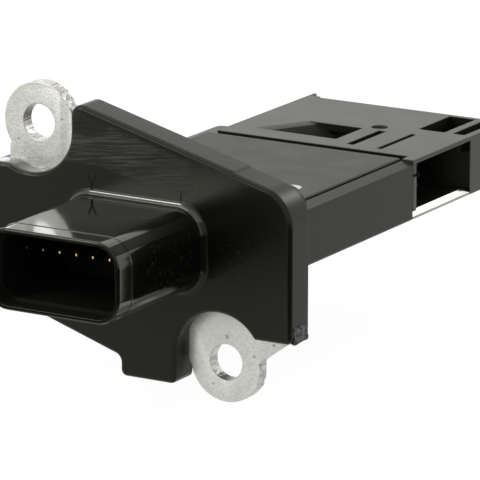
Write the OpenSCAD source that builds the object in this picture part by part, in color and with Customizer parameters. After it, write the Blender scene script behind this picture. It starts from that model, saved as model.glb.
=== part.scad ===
// Slot-in mass airflow sensor for an engine's intake duct.
// The origin is on the seating face, half way between the two screw holes.
// +Y is the way the probe goes into the duct, +X is to the right and +Z is up
// for someone who looks into the connector.

/* [Screws and plate] */
// Distance between the two screw holes, which lie on a 45 degree diagonal
screw_pitch = 40.5; // [39:0.5:44]
// Diameter of a screw hole
screw_hole_d = 4.8; // [4.2:0.1:5.6]
// Radius of the round end of a lug
lug_r = 5.4; // [5:0.05:5.8]
// Thickness of the metal plate
plate_t = 2; // [1.6:0.1:2.4]
// How far the metal plate stands out behind the plastic, so that metal meets the duct
plate_proud = 0.1; // [0.05:0.05:0.2]

/* [Flange] */
// Thickness of the moulded flange
flange_t = 4.7; // [4.2:0.1:5.5]
// Right side of the flange
flange_right = 25.5; // [24.6:0.1:27]
// Left side of the flange, to the left of the origin
flange_left = 22; // [21.5:0.1:24]
// Height of the slanted top edge above the origin
flange_top = 16.4; // [15.8:0.1:17]
// Slant of the top edge in degrees
top_slant = 14.8; // [13:0.1:16]
// Depth of the slanted lower edge below the origin
flange_low = 15.1; // [14.4:0.1:15.8]
// Slant of the lower edge in degrees
low_slant = 17.8; // [16:0.1:18.5]
// Radius of the top right corner
flange_corner_r = 5.2; // [4:0.1:6.5]
// Rounding of the front edge
flange_edge_r = 0.6; // [0.3:0.05:0.7]
// Half width of the oval notch round a lug
notch_w = 6.4; // [6.2:0.05:6.8]
// Half height of the oval notch round a lug
notch_h = 6.05; // [5.9:0.05:6.4]
// Lowest point of the leg, below the origin
leg_low = 17.65; // [17:0.05:18.2]
// Bottom of the right tab, below the origin
tab_low = 9.95; // [9.5:0.05:10.4]
// How far the top of the left tab lies above the bottom of the upper notch
tab_step = 0.8; // [0.7:0.05:1.2]

/* [Connector] */
// Length of the connector in front of the flange
con_len = 20.3; // [18:0.1:24]
// Outer width of the connector
con_w = 20.4; // [19.6:0.1:22]
// Outer height of the connector
con_h = 10.95; // [10.4:0.05:12]
// Outer corner radius of the connector
con_r = 3.5; // [3:0.1:4.4]
// Centre of the connector to the right of the origin
con_x = 2.15; // [1.5:0.05:3]
// Centre of the connector above the origin
con_z = 0.8; // [0.2:0.1:1]
// Wall of the connector at its mouth
con_wall = 0.7; // [0.6:0.05:0.9]
// Depth of the socket
socket_depth = 17; // [14:0.5:18]
// Radius of the fillet where the connector meets the flange
root_r = 1; // [0.6:0.1:1.2]

/* [Terminals] */
// Number of terminals
pin_count = 6; // [4:1:6]
// Distance from one terminal to the next
pin_pitch = 2.5; // [2.3:0.1:2.54]
// Side of the square terminals
pin_side = 0.64; // [0.5:0.02:0.8]
// Height of the row of pins above the connector's centre
pin_rise = 2.05; // [1.8:0.05:2.8]
// How far the pin tips stay behind the mouth
pin_recess = 4; // [3:0.5:6]
// Length of the taper at a pin's tip
pin_taper = 0.5; // [0.3:0.05:0.8]
// Where a terminal turns down, behind the metal plate
lead_turn = 1.4; // [1.2:0.1:1.8]
// Height of the leads above the floor of the circuit case
lead_rise = 3; // [2.6:0.1:3.4]
// How far the leads reach into the circuit case
lead_reach = 2.5; // [2:0.1:3]

/* [Probe] */
// Left side of the circuit case
case_left = -16.2; // [-16.8:0.1:-15.6]
// Right side of the circuit case
case_right = 18.65; // [18.2:0.05:19]
// Underside of the circuit case
case_low = -4.1; // [-4.6:0.1:-4]
// Top of the probe
probe_top = 4.4; // [4.3:0.05:4.8]
// Far end of the circuit case
case_end = 40.5; // [38:0.5:44]
// Width of the sloping rims beside the circuit cover
rim_w = 1.8; // [1.5:0.1:2.2]
// How far a rim slopes down to the side
rim_drop = 0.45; // [0.3:0.05:0.7]
// Thickness of the circuit cover
cover_t = 1.05; // [0.9:0.05:1.3]
// How far the circuit cover reaches over the tip
cover_lap = 1; // [0.6:0.1:1.2]
// Width of the groove between the circuit cover and the tip
groove_w = 0.8; // [0.5:0.1:1.2]
// Clearance round the circuit cover
cover_gap = 0.15; // [0.1:0.05:0.25]

/* [Neck and seal] */
// How far the neck stands out round the circuit case
neck_out = 2; // [1.4:0.1:2.2]
// Height of the neck
neck_h = 15.5; // [14.8:0.1:15.8]
// Corner radius of the neck
neck_r = 3; // [2.6:0.1:3.6]
// Length of the neck behind the seating face
neck_len = 8; // [7.5:0.1:8.4]
// Thickness of the seal ring
seal_d = 2.6; // [2.2:0.1:2.8]
// Depth of the seal's groove
seal_groove = 1.9; // [1.6:0.1:2]

/* [Tip] */
// Length of the tip from the circuit case to its end
tip_len = 26.9; // [25:0.1:30]
// Left side of the tip
tip_left = -13.4; // [-13.8:0.1:-12.8]
// Underside of the tip
tip_low = -3.9; // [-4.1:0.1:-3.6]
// Thickness of the tip's top plate and of the bypass cover
tip_wall = 1.1; // [0.9:0.05:1.2]
// Width of the jamb between the circuit case and the inlet mouth
jamb_w = 0.95; // [0.7:0.05:1.2]
// Length of the inlet mouth
mouth_len = 15.6; // [14.5:0.1:16]
// Near wall of the air passage, from the circuit case
passage_near = 4.1; // [3.8:0.1:4.5]
// Width of the air passage
passage_w = 9.8; // [9:0.1:10]

/* [Circuit] */
// Thickness of the base plate
base_t = 0.8; // [0.6:0.1:1]
// Thickness of the circuit board
board_t = 0.64; // [0.5:0.02:0.8]
// Depth of the gel over the board
gel_t = 1.2; // [0.8:0.1:1.5]
// Side of the square sensing posts
post_side = 0.6; // [0.4:0.05:0.7]
// Diameter of the bond wires
bond_d = 0.25; // [0.2:0.01:0.3]
// Side of the control chip
chip_side = 6; // [5:0.5:8]
// Height of the control chip
chip_h = 0.9; // [0.7:0.05:1]
// Width and length of a small capacitor
cap_size = [1.25, 2]; // [0.5:0.05:3]
// Width and length of a large capacitor
large_cap_size = [3.2, 1.6]; // [1:0.1:4]
// Width and length of a resistor
resistor_size = [2, 1.25]; // [0.5:0.05:3]
// Height of the capacitors
cap_h = 0.8; // [0.6:0.05:1]
// Height of the resistors
resistor_h = 0.5; // [0.4:0.05:0.6]
// Distance from one small part to the next
part_pitch = 4.5; // [4:0.1:5]
// Bare border of the board round the gel and the small parts
board_border = 2; // [1.8:0.1:2.4]

/* [Hidden] */
$fn = 48;
TERMINALS = [for (i = [1:pin_count]) str("terminal_", i)];

// Seats and edges worked out from the sizes above
cut = 1;
screw_x = screw_pitch / 2 * cos(45);
up_screw = [-screw_x, screw_x];
low_screw = [screw_x, -screw_x];
up_notch = up_screw + [0.12, -0.17];
low_notch = low_screw + [0.18, 1.19];
leg_left = -0.27;
leg_right = low_notch.x - notch_w;
case_mid = (case_left + case_right) / 2;
probe_mid = (case_low + probe_top) / 2;
cover_seat = probe_top - cover_t;
rim_left = case_left + rim_w;
rim_right = case_right - rim_w;
rim_top = probe_top - 0.2;
case_floor = case_low + 1.9;
tray_left = rim_left + 1.6;
tray_right = rim_right - 1.6;
tray_near = neck_len + 1.6;
tray_far = case_end - 1.5;
neck_w = case_right - case_left + 2 * neck_out;
plate_gap = 0.4;
plate_rim = 1.2;
con_back = -flange_t;
mouth_y = con_back - con_len;
socket_floor = mouth_y + socket_depth;
pin_z = con_z + pin_rise;
pin_tip = mouth_y + pin_recess;
lead_z = case_floor + lead_rise;
lead_jog = -plate_t - lead_turn;
lead_end = tray_near + lead_reach;
tip_end = case_end + tip_len;
mouth_near = case_end + jamb_w;
mouth_far = mouth_near + mouth_len;
passage_y0 = case_end + passage_near;
passage_y1 = passage_y0 + passage_w;
passage_top = probe_top - tip_wall;
passage_low = tip_low + tip_wall;
passage_left = tip_left + 3.6;
flare_r = 7;

// Unit vector along v
function unit(v) = v / norm(v);

// Points of an arc, from the angle a to the angle b in n steps
function arc(centre, r, a, b, n) = oval(centre, r, r, a, b, n);

// The same on an oval of the half width w and the half height h
function oval(centre, w, h, a, b, n) =
    [for (i = [0:n]) let (t = a + (b - a) * i / n) centre + [w * cos(t), h * sin(t)]];

// Points that round the corner at b, between a and c, with the radius r
function corner(a, b, c, r) =
    r == 0 ? [b] :
    let (u = unit(a - b), v = unit(c - b), half = acos(u * v) / 2,
         centre = b + unit(u + v) * r / sin(half),
         from = b + u * r / tan(half) - centre, to = b + v * r / tan(half) - centre,
         turn = acos(from * to / (r * r)), n = max(2, ceil(turn / 9)))
    [for (i = [0:n])
        centre + (from * sin(turn * (1 - i / n)) + to * sin(turn * i / n)) / sin(turn)];

// Outline through corners given as [x, y, radius]
function rounded(path) =
    let (n = len(path), at = [for (p = path) [p[0], p[1]]])
    [for (i = [0:n - 1]) each corner(at[(i + n - 1) % n], at[i], at[(i + 1) % n], path[i][2])];

// Arc points as sharp corners of a rounded outline
function sharp(points) = [for (p = points) [p.x, p.y, 0]];

// Rectangle with round corners about a centre
function round_rect(centre, w, h, r) =
    rounded([for (s = [[1, -1], [1, 1], [-1, 1], [-1, -1]])
        [centre.x + s.x * w / 2, centre.y + s.y * h / 2, r]]);

// The outline moved inwards by d, and outwards where d is negative
function inset(path, d) =
    let (n = len(path))
    [for (i = [0:n - 1])
        let (e = unit(path[i] - path[(i + n - 1) % n]), f = unit(path[(i + 1) % n] - path[i]),
             a = [-e.y, e.x], b = [-f.y, f.x])
        path[i] + d * (a + b) / (1 + a * b)];

// Closed skin through one outline. Each row is [height, inset].
module loft(path, rows) {
    n = len(path);
    last = len(rows) - 1;
    polyhedron(
        points = [for (row = rows) for (p = inset(path, row[1])) [p.x, p.y, row[0]]],
        faces = concat(
            [[for (i = [0:n - 1]) i]],
            [for (k = [0:last - 1]) for (i = [0:n - 1])
                let (a = k * n + i, b = k * n + (i + 1) % n)
                each [[a, a + n, b + n], [a, b + n, b]]],
            [[for (i = [n - 1:-1:0]) last * n + i]]));
}

// Turns a shape drawn in X and Z, with its height towards the connector's mouth, to start at y
module face_out(y) {
    translate([0, y, 0]) rotate([90, 0, 0]) children();
}

// Block between two corners
module block(a, b) {
    translate(a) cube(b - a);
}

// Rounded lengthwise block of the given outline, between two places along Y
module prism(path, y0, y1) {
    face_out(y1) linear_extrude(y1 - y0) polygon(path);
}

function top_edge(x) = flange_top - x * tan(top_slant);
function low_edge(x) = -flange_low - x * tan(low_slant);

tab_high = up_notch.y - notch_h + tab_step;
notch_stop = asin((tab_high - up_notch.y) / notch_h);
step_x = 16.7;
step_h = 0.25;
flange_outline = rounded(concat(
    [[flange_right, -tab_low, 0.8],
     [flange_right, top_edge(flange_right) - step_h, flange_corner_r],
     [step_x + step_h, top_edge(step_x) - step_h, 0],
     [step_x, top_edge(step_x), 0],
     [up_notch.x + notch_w, top_edge(up_notch.x + notch_w), 1.6]],
    sharp(oval(up_notch, notch_w, notch_h, 0, -180 - notch_stop, 16)),
    [[-flange_left, tab_high, 2.5],
     [-flange_left, low_edge(-flange_left), 3],
     [leg_left, low_edge(leg_left), 1.2],
     [leg_left, -leg_low, 0.9],
     [leg_right, -leg_low, 0.8]],
    sharp(oval(low_notch, notch_w, notch_h, 180, asin((-tab_low - low_notch.y) / notch_h), 18))));

// Moulded flange, rounded along its front edge and cut off flat at its front and back
module flange() {
    steps = 4;
    intersection() {
        face_out(0) loft(flange_outline, concat(
            [[-cut, 0]],
            [for (i = [0:steps]) let (a = 90 * i / steps)
                [flange_t - flange_edge_r * (1 - sin(a)), flange_edge_r * (1 - cos(a))]],
            [[flange_t + cut, flange_edge_r]]));
        block([-flange_left - cut, -flange_t, -leg_low - cut],
            [flange_right + cut, -plate_proud, flange_top + flange_left]);
    }
}

// Outside of the connector: the fillet at its root, the mould's parting step and its round rim
module connector() {
    parting = con_len - 3;
    step = 0.08;
    rim_r = 0.3;
    face_out(con_back + cut / 2) loft(round_rect([con_x, con_z], con_w, con_h, con_r), concat(
        [[0, -root_r], [cut / 2, -root_r]],
        [for (i = [1:5]) let (a = 90 * i / 5)
            [cut / 2 + root_r * (1 - cos(a)), -root_r * (1 - sin(a))]],
        [[cut / 2 + parting - step, 0], [cut / 2 + parting, step]],
        [for (i = [0:3]) let (a = 30 * i)
            [cut / 2 + con_len - rim_r * (1 - sin(a)), step + rim_r * (1 - cos(a))]]));
}

// Space inside the connector, a little wider at the mouth
module socket() {
    lead_in = 2.6;
    lead_w = con_w - 2 * con_wall;
    lead_h = con_h - 2 * con_wall;
    shoulder = 0.45;
    prism(round_rect([con_x, con_z], lead_w, lead_h, con_r - con_wall), mouth_y - cut, mouth_y + lead_in);
    prism(round_rect([con_x, con_z], lead_w - 2 * shoulder, lead_h - 2 * shoulder,
        con_r - con_wall - shoulder), mouth_y, socket_floor);
}

// Ramp under the connector that locks the plug
module lock_ramp() {
    w = 6;
    foot = con_z - con_h / 2;
    translate([con_x - w / 2, mouth_y + 5, foot]) rotate([90, 0, 90])
        linear_extrude(w) polygon([[0, 0.3], [0, 0], [3.4, -1.3], [4, -1.3], [4, 0.3]]);
}

function pin_x(i) = con_x + (i - (pin_count - 1) / 2) * pin_pitch;

// Terminal from its tip in the socket, down behind the flange and into the circuit case
module terminal(i) {
    s = pin_side / 2;
    color("#c9a227") translate([pin_x(i) - s, 0, 0]) rotate([90, 0, 90])
        linear_extrude(pin_side) polygon([
            [pin_tip + pin_taper, pin_z - s], [lead_jog - s, pin_z - s], [lead_jog - s, lead_z - s],
            [lead_end, lead_z - s], [lead_end, lead_z + s], [lead_jog + s, lead_z + s],
            [lead_jog + s, pin_z + s], [pin_tip + pin_taper, pin_z + s], [pin_tip, pin_z + s / 2],
            [pin_tip, pin_z - s / 2]]);
}

// Metal plate without its screw holes, with its back at the given y
module plate_body(back) {
    window = round_rect([case_mid, probe_mid], neck_w + 2 * plate_gap, neck_h + 2 * plate_gap,
        neck_r + plate_gap);
    frame = round_rect([case_mid, probe_mid], neck_w + 2 * (plate_gap + plate_rim),
        neck_h + 2 * (plate_gap + plate_rim), neck_r + plate_gap + plate_rim);
    web_right = flange_right - 2.6;
    difference() {
        union() {
            for (screw = [up_screw, low_screw])
                face_out(back) translate(screw) cylinder(h = plate_t + back, r = lug_r);
            prism(frame, -plate_t, back);
            block([up_screw.x - lug_r + 1.3, -plate_t, probe_mid], [up_screw.x + lug_r, back, up_screw.y]);
            prism([[low_screw.x - lug_r, low_screw.y], [low_screw.x + lug_r - 0.3, low_screw.y + 0.7],
                [web_right, -tab_low - 1.1], [web_right, probe_mid],
                [low_screw.x - lug_r, probe_mid]], -plate_t, back);
        }
        prism(window, -plate_t - cut, back + cut);
    }
}

module mounting_plate() {
    color("#b9bcbd") difference() {
        plate_body(0);
        for (screw = [up_screw, low_screw])
            face_out(cut) translate(screw) cylinder(h = plate_t + 2 * cut, d = screw_hole_d);
    }
}

// Section of the circuit case with the two sloping rims beside the cover
case_section = rounded([
    [case_left, case_low, 0.6], [case_right, case_low, 0.6],
    [case_right, rim_top - rim_drop, 0], [rim_right, rim_top, 0],
    [rim_right, cover_seat, 0], [rim_left, cover_seat, 0],
    [rim_left, rim_top, 0], [case_left, rim_top - rim_drop, 0]]);

// Neck behind the flange, with the groove for the seal ring
module neck() {
    y0 = (neck_len - seal_d) / 2 - 0.1;
    floor_w = neck_w - 2 * seal_groove;
    floor_h = neck_h - 2 * seal_groove;
    middle = [case_mid, probe_mid];
    prism(round_rect(middle, neck_w, neck_h, neck_r), -cut, y0);
    prism(round_rect(middle, floor_w, floor_h, neck_r - seal_groove), -cut / 2, neck_len - cut);
    prism(round_rect(middle, neck_w, neck_h, neck_r), neck_len - y0, neck_len);
}

// Where the six sensing posts run: [x, z] of each
heater_x = 6.55;
reference_x = 11.25;
thermistor_x = 14;
post_z = 1.5;
post_near = tray_far - 1.4;

module post(x, z, far) {
    s = post_side / 2;
    color("#c8c3b4") block([x - s, post_near, z - s], [x + s, far, z + s]);
}

module housing() {
    color("#1c1d1f") difference() {
        union() {
            flange();
            connector();
            lock_ramp();
            neck();
            prism(case_section, neck_len - cut, case_end);
        }
        socket();
        plate_body(cut);
        block([tray_left, tray_near, case_floor], [tray_right, tray_far, probe_top + cut]);
        for (i = [0:pin_count - 1])
            terminal(i);
        for (x = [heater_x, reference_x, thermistor_x])
            for (z = [-post_z, post_z])
                post(x, z, case_end + cut);
    }
}

// Rubber ring in the neck's groove, its inner side flat over the groove's floor
module seal_ring() {
    $fn = 32;
    flat = 0.15;
    floor_gap = 0.03;
    half_w = neck_w / 2 - neck_r;
    half_h = neck_h / 2 - neck_r;
    bend = neck_r - seal_groove;
    module section() {
        intersection() {
            translate([bend + floor_gap + seal_d / 2 - flat, 0]) circle(d = seal_d);
            translate([bend + floor_gap, -seal_d]) square(2 * seal_d);
        }
    }
    color("#2b2b2d") face_out(neck_len / 2) translate([case_mid, probe_mid])
        for (turn = [0:3]) {
            long = turn % 2 == 0 ? half_w : half_h;
            side = turn % 2 == 0 ? half_h : half_w;
            rotate(90 * turn) {
                translate([long, side]) rotate_extrude(angle = 90) section();
                translate([-long, side]) rotate([90, 0, 90]) linear_extrude(2 * long) section();
            }
        }
}

// Flat cover let in between the rims, with a lip that drops into the circuit case
module circuit_cover() {
    y0 = neck_len + cover_gap;
    y1 = case_end + cover_lap;
    x0 = rim_left + cover_gap;
    x1 = rim_right - cover_gap;
    lip = 0.4;
    bevel = 0.35;
    color("#2f3032") {
        prism([[x0, cover_seat], [x1, cover_seat], [x1, rim_top], [x1 - bevel, probe_top],
            [x0 + bevel, probe_top], [x0, rim_top]], y0, y1);
        difference() {
            block([tray_left + 0.2, tray_near + 0.2, cover_seat - lip],
                [tray_right - 0.2, tray_far - 0.2, cover_seat + 0.2]);
            block([tray_left + 1.2, tray_near + 1.2, cover_seat - lip - cut],
                [tray_right - 1.2, tray_far - 1.2, cover_seat]);
        }
    }
}

// Plan of the air passage from the flared inlet mouth to the outlet, in X and Y
passage_plan = let (
        far_flare = mouth_far - passage_y1,
        near_flare = passage_y0 - mouth_near,
        far_turn = acos(1 - far_flare / flare_r),
        near_turn = acos(1 - near_flare / flare_r))
    concat(
        arc([case_right - flare_r * sin(near_turn), passage_y0 - flare_r], flare_r,
            90 - near_turn, 90, 8),
        [[passage_left, passage_y0], [passage_left, passage_y1]],
        arc([case_right - flare_r * sin(far_turn), passage_y1 + flare_r], flare_r,
            270, 270 + far_turn, 8),
        [[case_right + cut, mouth_far], [case_right + cut, mouth_near]]);

// Outlet window in the top plate, in X and Y
window_near = passage_y0 + 1.6;
window_far = passage_y1 - 0.6;
window_right = 3.3;
window_plan = [[-9.65, window_near], [window_right, window_near], [window_right, window_far],
    [-5.3, window_far]];

// Floor of the outlet: a curved ramp that rises towards the window's slanted end
module outlet_ramp() {
    skew = atan2(window_plan[3].x - window_plan[0].x, window_far - window_near);
    depth = probe_top - passage_low;
    ramp_len = 9;
    steps = 8;
    translate([window_plan[0].x, window_near, probe_top]) rotate([0, 0, -skew]) rotate([90, 0, 0])
        linear_extrude(40, center = true) polygon(concat(
            [[0, cut], [-20, cut], [-20, -depth - cut], [ramp_len, -depth - cut]],
            [for (i = [steps:-1:0]) let (t = i / steps) [ramp_len * t, -depth * (0.3 * t + 0.7 * t * t)]]));
}

module air_passage() {
    difference() {
        union() {
            translate([0, 0, passage_low]) linear_extrude(passage_top - passage_low) polygon(passage_plan);
            translate([0, 0, passage_top - cut]) linear_extrude(tip_wall + 2 * cut) polygon(window_plan);
        }
        outlet_ramp();
    }
}

// Narrow slots over the two elements, [x, width, near end, far end]
slots = [[heater_x, 1.1, 44.4, 53.7], [reference_x, 0.7, 44.2, 54.2]];
// Cored pockets in the end block, [left, right]
pockets = [[10.3, 14.3], [15.7, 17.5]];
pocket_near = mouth_far + 0.3;
pocket_far = tip_end - 0.85;
cover_edge = tip_left + 1.2;
post_w = 1.9;
post_out = 2;
shoulder_len = 7;

// Shoulder on the left, where the tip is as wide as the circuit case
module shoulder() {
    low = tip_low + 1.2;
    translate([0, 0, low]) linear_extrude(rim_top - rim_drop - low) polygon(rounded([
        [case_left, case_end, 0], [tip_left + 1, case_end, 0],
        [tip_left + 1, case_end + shoulder_len, 0], [case_left, case_end + shoulder_len, 1]]));
}

// Bevel under the top plate along the inlet mouth
module mouth_bevel() {
    rise = tip_wall - 0.6;
    prism([[case_right + cut, passage_top - cut], [case_right + cut, passage_top + rise],
        [case_right, passage_top + rise], [case_right - 1.2, passage_top],
        [case_right - 1.2, passage_top - cut]], mouth_near, mouth_far);
}

module bypass_body() {
    color("#242527") difference() {
        union() {
            block([tip_left, case_end, tip_low], [case_right, tip_end, probe_top]);
            block([tip_left, tip_end - cut, tip_low], [tip_left + post_w, tip_end + post_out, probe_top]);
            shoulder();
        }
        air_passage();
        mouth_bevel();
        // Slit across the near jamb
        block([case_right - 0.8, case_end - cut, 2], [case_right + cut, mouth_near + cut, 2.35]);
        // Seat of the circuit cover's end and the groove behind it
        block([tip_left - cut, case_end - cut, cover_seat],
            [rim_right, case_end + cover_lap + groove_w, probe_top + cut]);
        // Seat of the bypass cover
        block([cover_edge, case_end - cut, tip_low - cut], [case_right + cut, mouth_far, passage_low]);
        for (slot = slots)
            block([slot[0] - slot[1] / 2, slot[2], passage_top - cut],
                [slot[0] + slot[1] / 2, slot[3], probe_top + cut]);
        for (p = pockets)
            block([p[0], pocket_near, passage_low], [p[1], pocket_far, probe_top + cut]);
        // Step on top of the corner post
        block([tip_left + 0.5, tip_end + 0.6, probe_top - 0.7],
            [tip_left + post_w + cut, tip_end + post_out + cut, probe_top + cut]);
        // Ejector mark
        translate([5.05, passage_y1 + 1.2, probe_top - 0.3]) cylinder(h = cut, d = 2.3);
        for (x = [heater_x, reference_x, thermistor_x])
            for (z = [-post_z, post_z])
                post(x, z, passage_y0 + cut);
    }
}

// Plate that closes the air passage, bevelled along the inlet mouth
module bypass_cover() {
    bevel = 0.8;
    color("#2a2b2d") prism([[cover_edge, tip_low], [case_right, tip_low],
        [case_right, passage_low - bevel], [case_right - bevel, passage_low],
        [cover_edge, passage_low]], case_end, mouth_far);
}

base_top = case_floor + base_t;
board_top = base_top + board_t;
board_x0 = tray_left + 1;
board_x1 = tray_right - 1;
board_y0 = lead_end + 0.8;
board_y1 = post_near - 1.2;

module base_plate() {
    color("#a9adb0") block([board_x0 - 0.4, board_y0 - 0.3, case_floor],
        [board_x1 + 0.4, board_y1 + 0.3, base_top]);
}

module circuit_board() {
    color("#e4e2d8") block([board_x0, board_y0, base_top], [board_x1, board_y1, board_top]);
}

// A small part on the board: its middle, its width and length, and its height
module on_board(x, y, size, h) {
    block([x - size.x / 2, y - size.y / 2, board_top], [x + size.x / 2, y + size.y / 2, board_top + h]);
}

board_mid = (board_y0 + board_y1) / 2;

module control_chip() {
    color("#202022") on_board(case_mid - chip_side / 3, board_mid, [chip_side, chip_side], chip_h);
}

module chip_capacitors() {
    color("#b08d5b") {
        for (i = [0:4])
            on_board(case_mid + (i - 2) * part_pitch, board_y0 + 2 * board_border + cap_size.x / 6, cap_size, cap_h);
        for (side = [-1, 1])
            on_board(case_mid + chip_side - 1, board_mid + side * chip_side * 5 / 12, large_cap_size, cap_h * 5 / 4);
    }
}

module chip_resistors() {
    color("#3a3f4a")
        for (row = [0:1])
            for (i = [0:3])
                on_board(case_mid + (i - 1.6) * part_pitch * 10 / 9,
                    board_y1 - board_border * 3 / 2 - 1.6 * row * resistor_size.x, resistor_size, resistor_h);
}

// Soft gel over the board, which the parts on it stand in
module circuit_gel() {
    rim = 0.3;
    color("#cfd8dc") difference() {
        block([board_x0 + rim, board_y0 + board_border, board_top],
            [board_x1 - rim, board_y1 - board_border * 4 / 5, board_top + gel_t]);
        control_chip();
        chip_capacitors();
        chip_resistors();
    }
}

// Wire that stands on two pads, [y, z] each, and arches over between them
module bond(x, a, b) {
    r = abs(b[0] - a[0]) / 2;
    top = max(a[1], b[1]);
    low = a[1] < b[1] ? a : b;
    translate([x, (a[0] + b[0]) / 2, top]) rotate([90, 0, 90])
        rotate_extrude(angle = 180, $fn = 24) translate([r, 0]) circle(d = bond_d, $fn = 8);
    translate([x, low[0], low[1]]) cylinder(h = top - low[1], d = bond_d, $fn = 8);
}

module bond_wires() {
    side = post_side / 4;
    color("#d8d8d8") {
        for (i = [0:pin_count - 1])
            bond(pin_x(i), [lead_end - 0.5, lead_z + pin_side / 2], [board_y0 + 0.6, board_top]);
        for (x = [heater_x, reference_x, thermistor_x]) {
            bond(x + side, [post_near + 0.3, post_z + post_side / 2], [board_y1 - 0.2, board_top]);
            bond(x - side, [post_near + 0.3, post_side / 2 - post_z], [board_y1 - 1, board_top]);
        }
    }
}

element_y = passage_y0 + passage_w / 2;
element_end = element_y + post_side / 2 + 0.2;

// Wire-wound element welded between the ends of two posts
module element(x, d, l) {
    gap = post_z - post_side / 2;
    translate([x, element_y, -gap]) cylinder(h = 2 * gap, d = 0.3, $fn = 24);
    translate([x, element_y, -l / 2]) cylinder(h = l, d = d);
}

module heating_element() {
    color("#e9e6da") element(heater_x, 0.9, 1.6);
}

module reference_element() {
    color("#ded9c8") element(reference_x, 0.6, 1.8);
}

module air_thermistor() {
    color("#5b7d5e") {
        element(thermistor_x, 0.8, 1.2);
        translate([thermistor_x, element_y, 0]) sphere(d = 1.5);
    }
}

housing();
mounting_plate();
seal_ring();
circuit_cover();
bypass_body();
bypass_cover();
for (i = [0:pin_count - 1])
    terminal(i);
base_plate();
circuit_board();
control_chip();
chip_capacitors();
chip_resistors();
circuit_gel();
bond_wires();
post(heater_x, -post_z, element_end);  // heater_post_1
post(heater_x, post_z, element_end);  // heater_post_2
post(reference_x, -post_z, element_end);  // reference_post_1
post(reference_x, post_z, element_end);  // reference_post_2
post(thermistor_x, -post_z, element_end);  // thermistor_lead_1
post(thermistor_x, post_z, element_end);  // thermistor_lead_2
heating_element();
reference_element();
air_thermistor();
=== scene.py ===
# %% [markdown]
# # A slot-in mass airflow sensor on a studio table
# The sensor hangs in an engine's intake duct by two screws. Its housing is black plastic filled
# with glass, its mounting plate is stamped aluminium, and its tip carries a bent air passage
# with the sensing elements. The solids come from the CAD model. This script gives them the
# small roundings, the torn edges and the finishes that a camera sees, and a photographer's light.

# %% Load the model
import math
import bpy
from mathutils import Matrix, Vector


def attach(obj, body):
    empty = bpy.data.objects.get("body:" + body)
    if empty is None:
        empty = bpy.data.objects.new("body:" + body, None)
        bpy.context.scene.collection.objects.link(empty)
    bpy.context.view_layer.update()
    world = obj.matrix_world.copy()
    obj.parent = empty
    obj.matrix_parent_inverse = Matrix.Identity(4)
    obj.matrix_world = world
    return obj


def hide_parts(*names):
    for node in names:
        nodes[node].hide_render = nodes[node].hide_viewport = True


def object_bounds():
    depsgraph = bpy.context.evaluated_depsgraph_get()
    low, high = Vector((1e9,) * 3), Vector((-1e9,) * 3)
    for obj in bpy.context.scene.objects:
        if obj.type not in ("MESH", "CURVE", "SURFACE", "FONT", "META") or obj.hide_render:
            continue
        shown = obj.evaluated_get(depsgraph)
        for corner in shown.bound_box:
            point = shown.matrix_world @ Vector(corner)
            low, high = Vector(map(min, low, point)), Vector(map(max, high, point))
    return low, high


MM = 1000  # millimetres in Blender's metre
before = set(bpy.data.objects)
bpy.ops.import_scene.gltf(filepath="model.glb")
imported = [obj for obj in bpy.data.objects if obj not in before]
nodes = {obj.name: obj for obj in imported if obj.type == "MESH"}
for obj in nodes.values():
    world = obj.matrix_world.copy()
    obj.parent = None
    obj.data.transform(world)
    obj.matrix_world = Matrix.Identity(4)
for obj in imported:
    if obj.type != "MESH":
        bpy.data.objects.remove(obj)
cad_box = [list(corner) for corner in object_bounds()]
print("CAD box in mm:", [[round(v * MM, 2) for v in corner] for corner in cad_box])

# %% [markdown]
# ## The camera
# A product photographer stands far back with a long lens, so that the part hardly narrows with
# distance. The camera could be placed by eye. Here it is placed by three angles, a distance and
# one point whose place in the picture is known: the middle of the metal plate.

# %% Place the camera
PIXELS = 480
FOCAL_PIXELS = 5000
SENSOR = 36
TURN = math.radians(30.49)
HEIGHT = math.radians(14.49)
ROLL = math.radians(0.13)
PLATE_MIDDLE = Vector((0, -0.002, 0))
PLATE_PIXEL = (132.05, 241.35)
DISTANCE = 0.6536

forward = Vector((-math.sin(TURN) * math.cos(HEIGHT),
                  math.cos(TURN) * math.cos(HEIGHT),
                  -math.sin(HEIGHT)))
level = Vector((math.cos(TURN), math.sin(TURN), 0))
above = level.cross(forward)
right = math.cos(ROLL) * level + math.sin(ROLL) * above
up = math.cos(ROLL) * above - math.sin(ROLL) * level
aside = (PLATE_PIXEL[0] - PIXELS / 2) / FOCAL_PIXELS * DISTANCE
below = (PLATE_PIXEL[1] - PIXELS / 2) / FOCAL_PIXELS * DISTANCE
eye = PLATE_MIDDLE - forward * DISTANCE - right * aside + up * below

lens = bpy.data.cameras.new("studio_camera")
lens.sensor_width = SENSOR
lens.lens = FOCAL_PIXELS / PIXELS * SENSOR
camera = bpy.data.objects.new("studio_camera", lens)
camera.matrix_world = Matrix.Translation(eye) @ Matrix((right, up, -forward)).transposed().to_4x4()
bpy.context.collection.objects.link(camera)
bpy.context.scene.camera = camera
print("camera at", [round(v, 3) for v in eye], "with a", lens.lens, "mm lens")

# %% [markdown]
# ## Sums instead of wires
# A finish is easier to read as a sum than as a drawing of boxes and wires. A Value holds one
# output of a node, and an operator on it adds a Math node, so 1 - mask is written as it is said.

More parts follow.
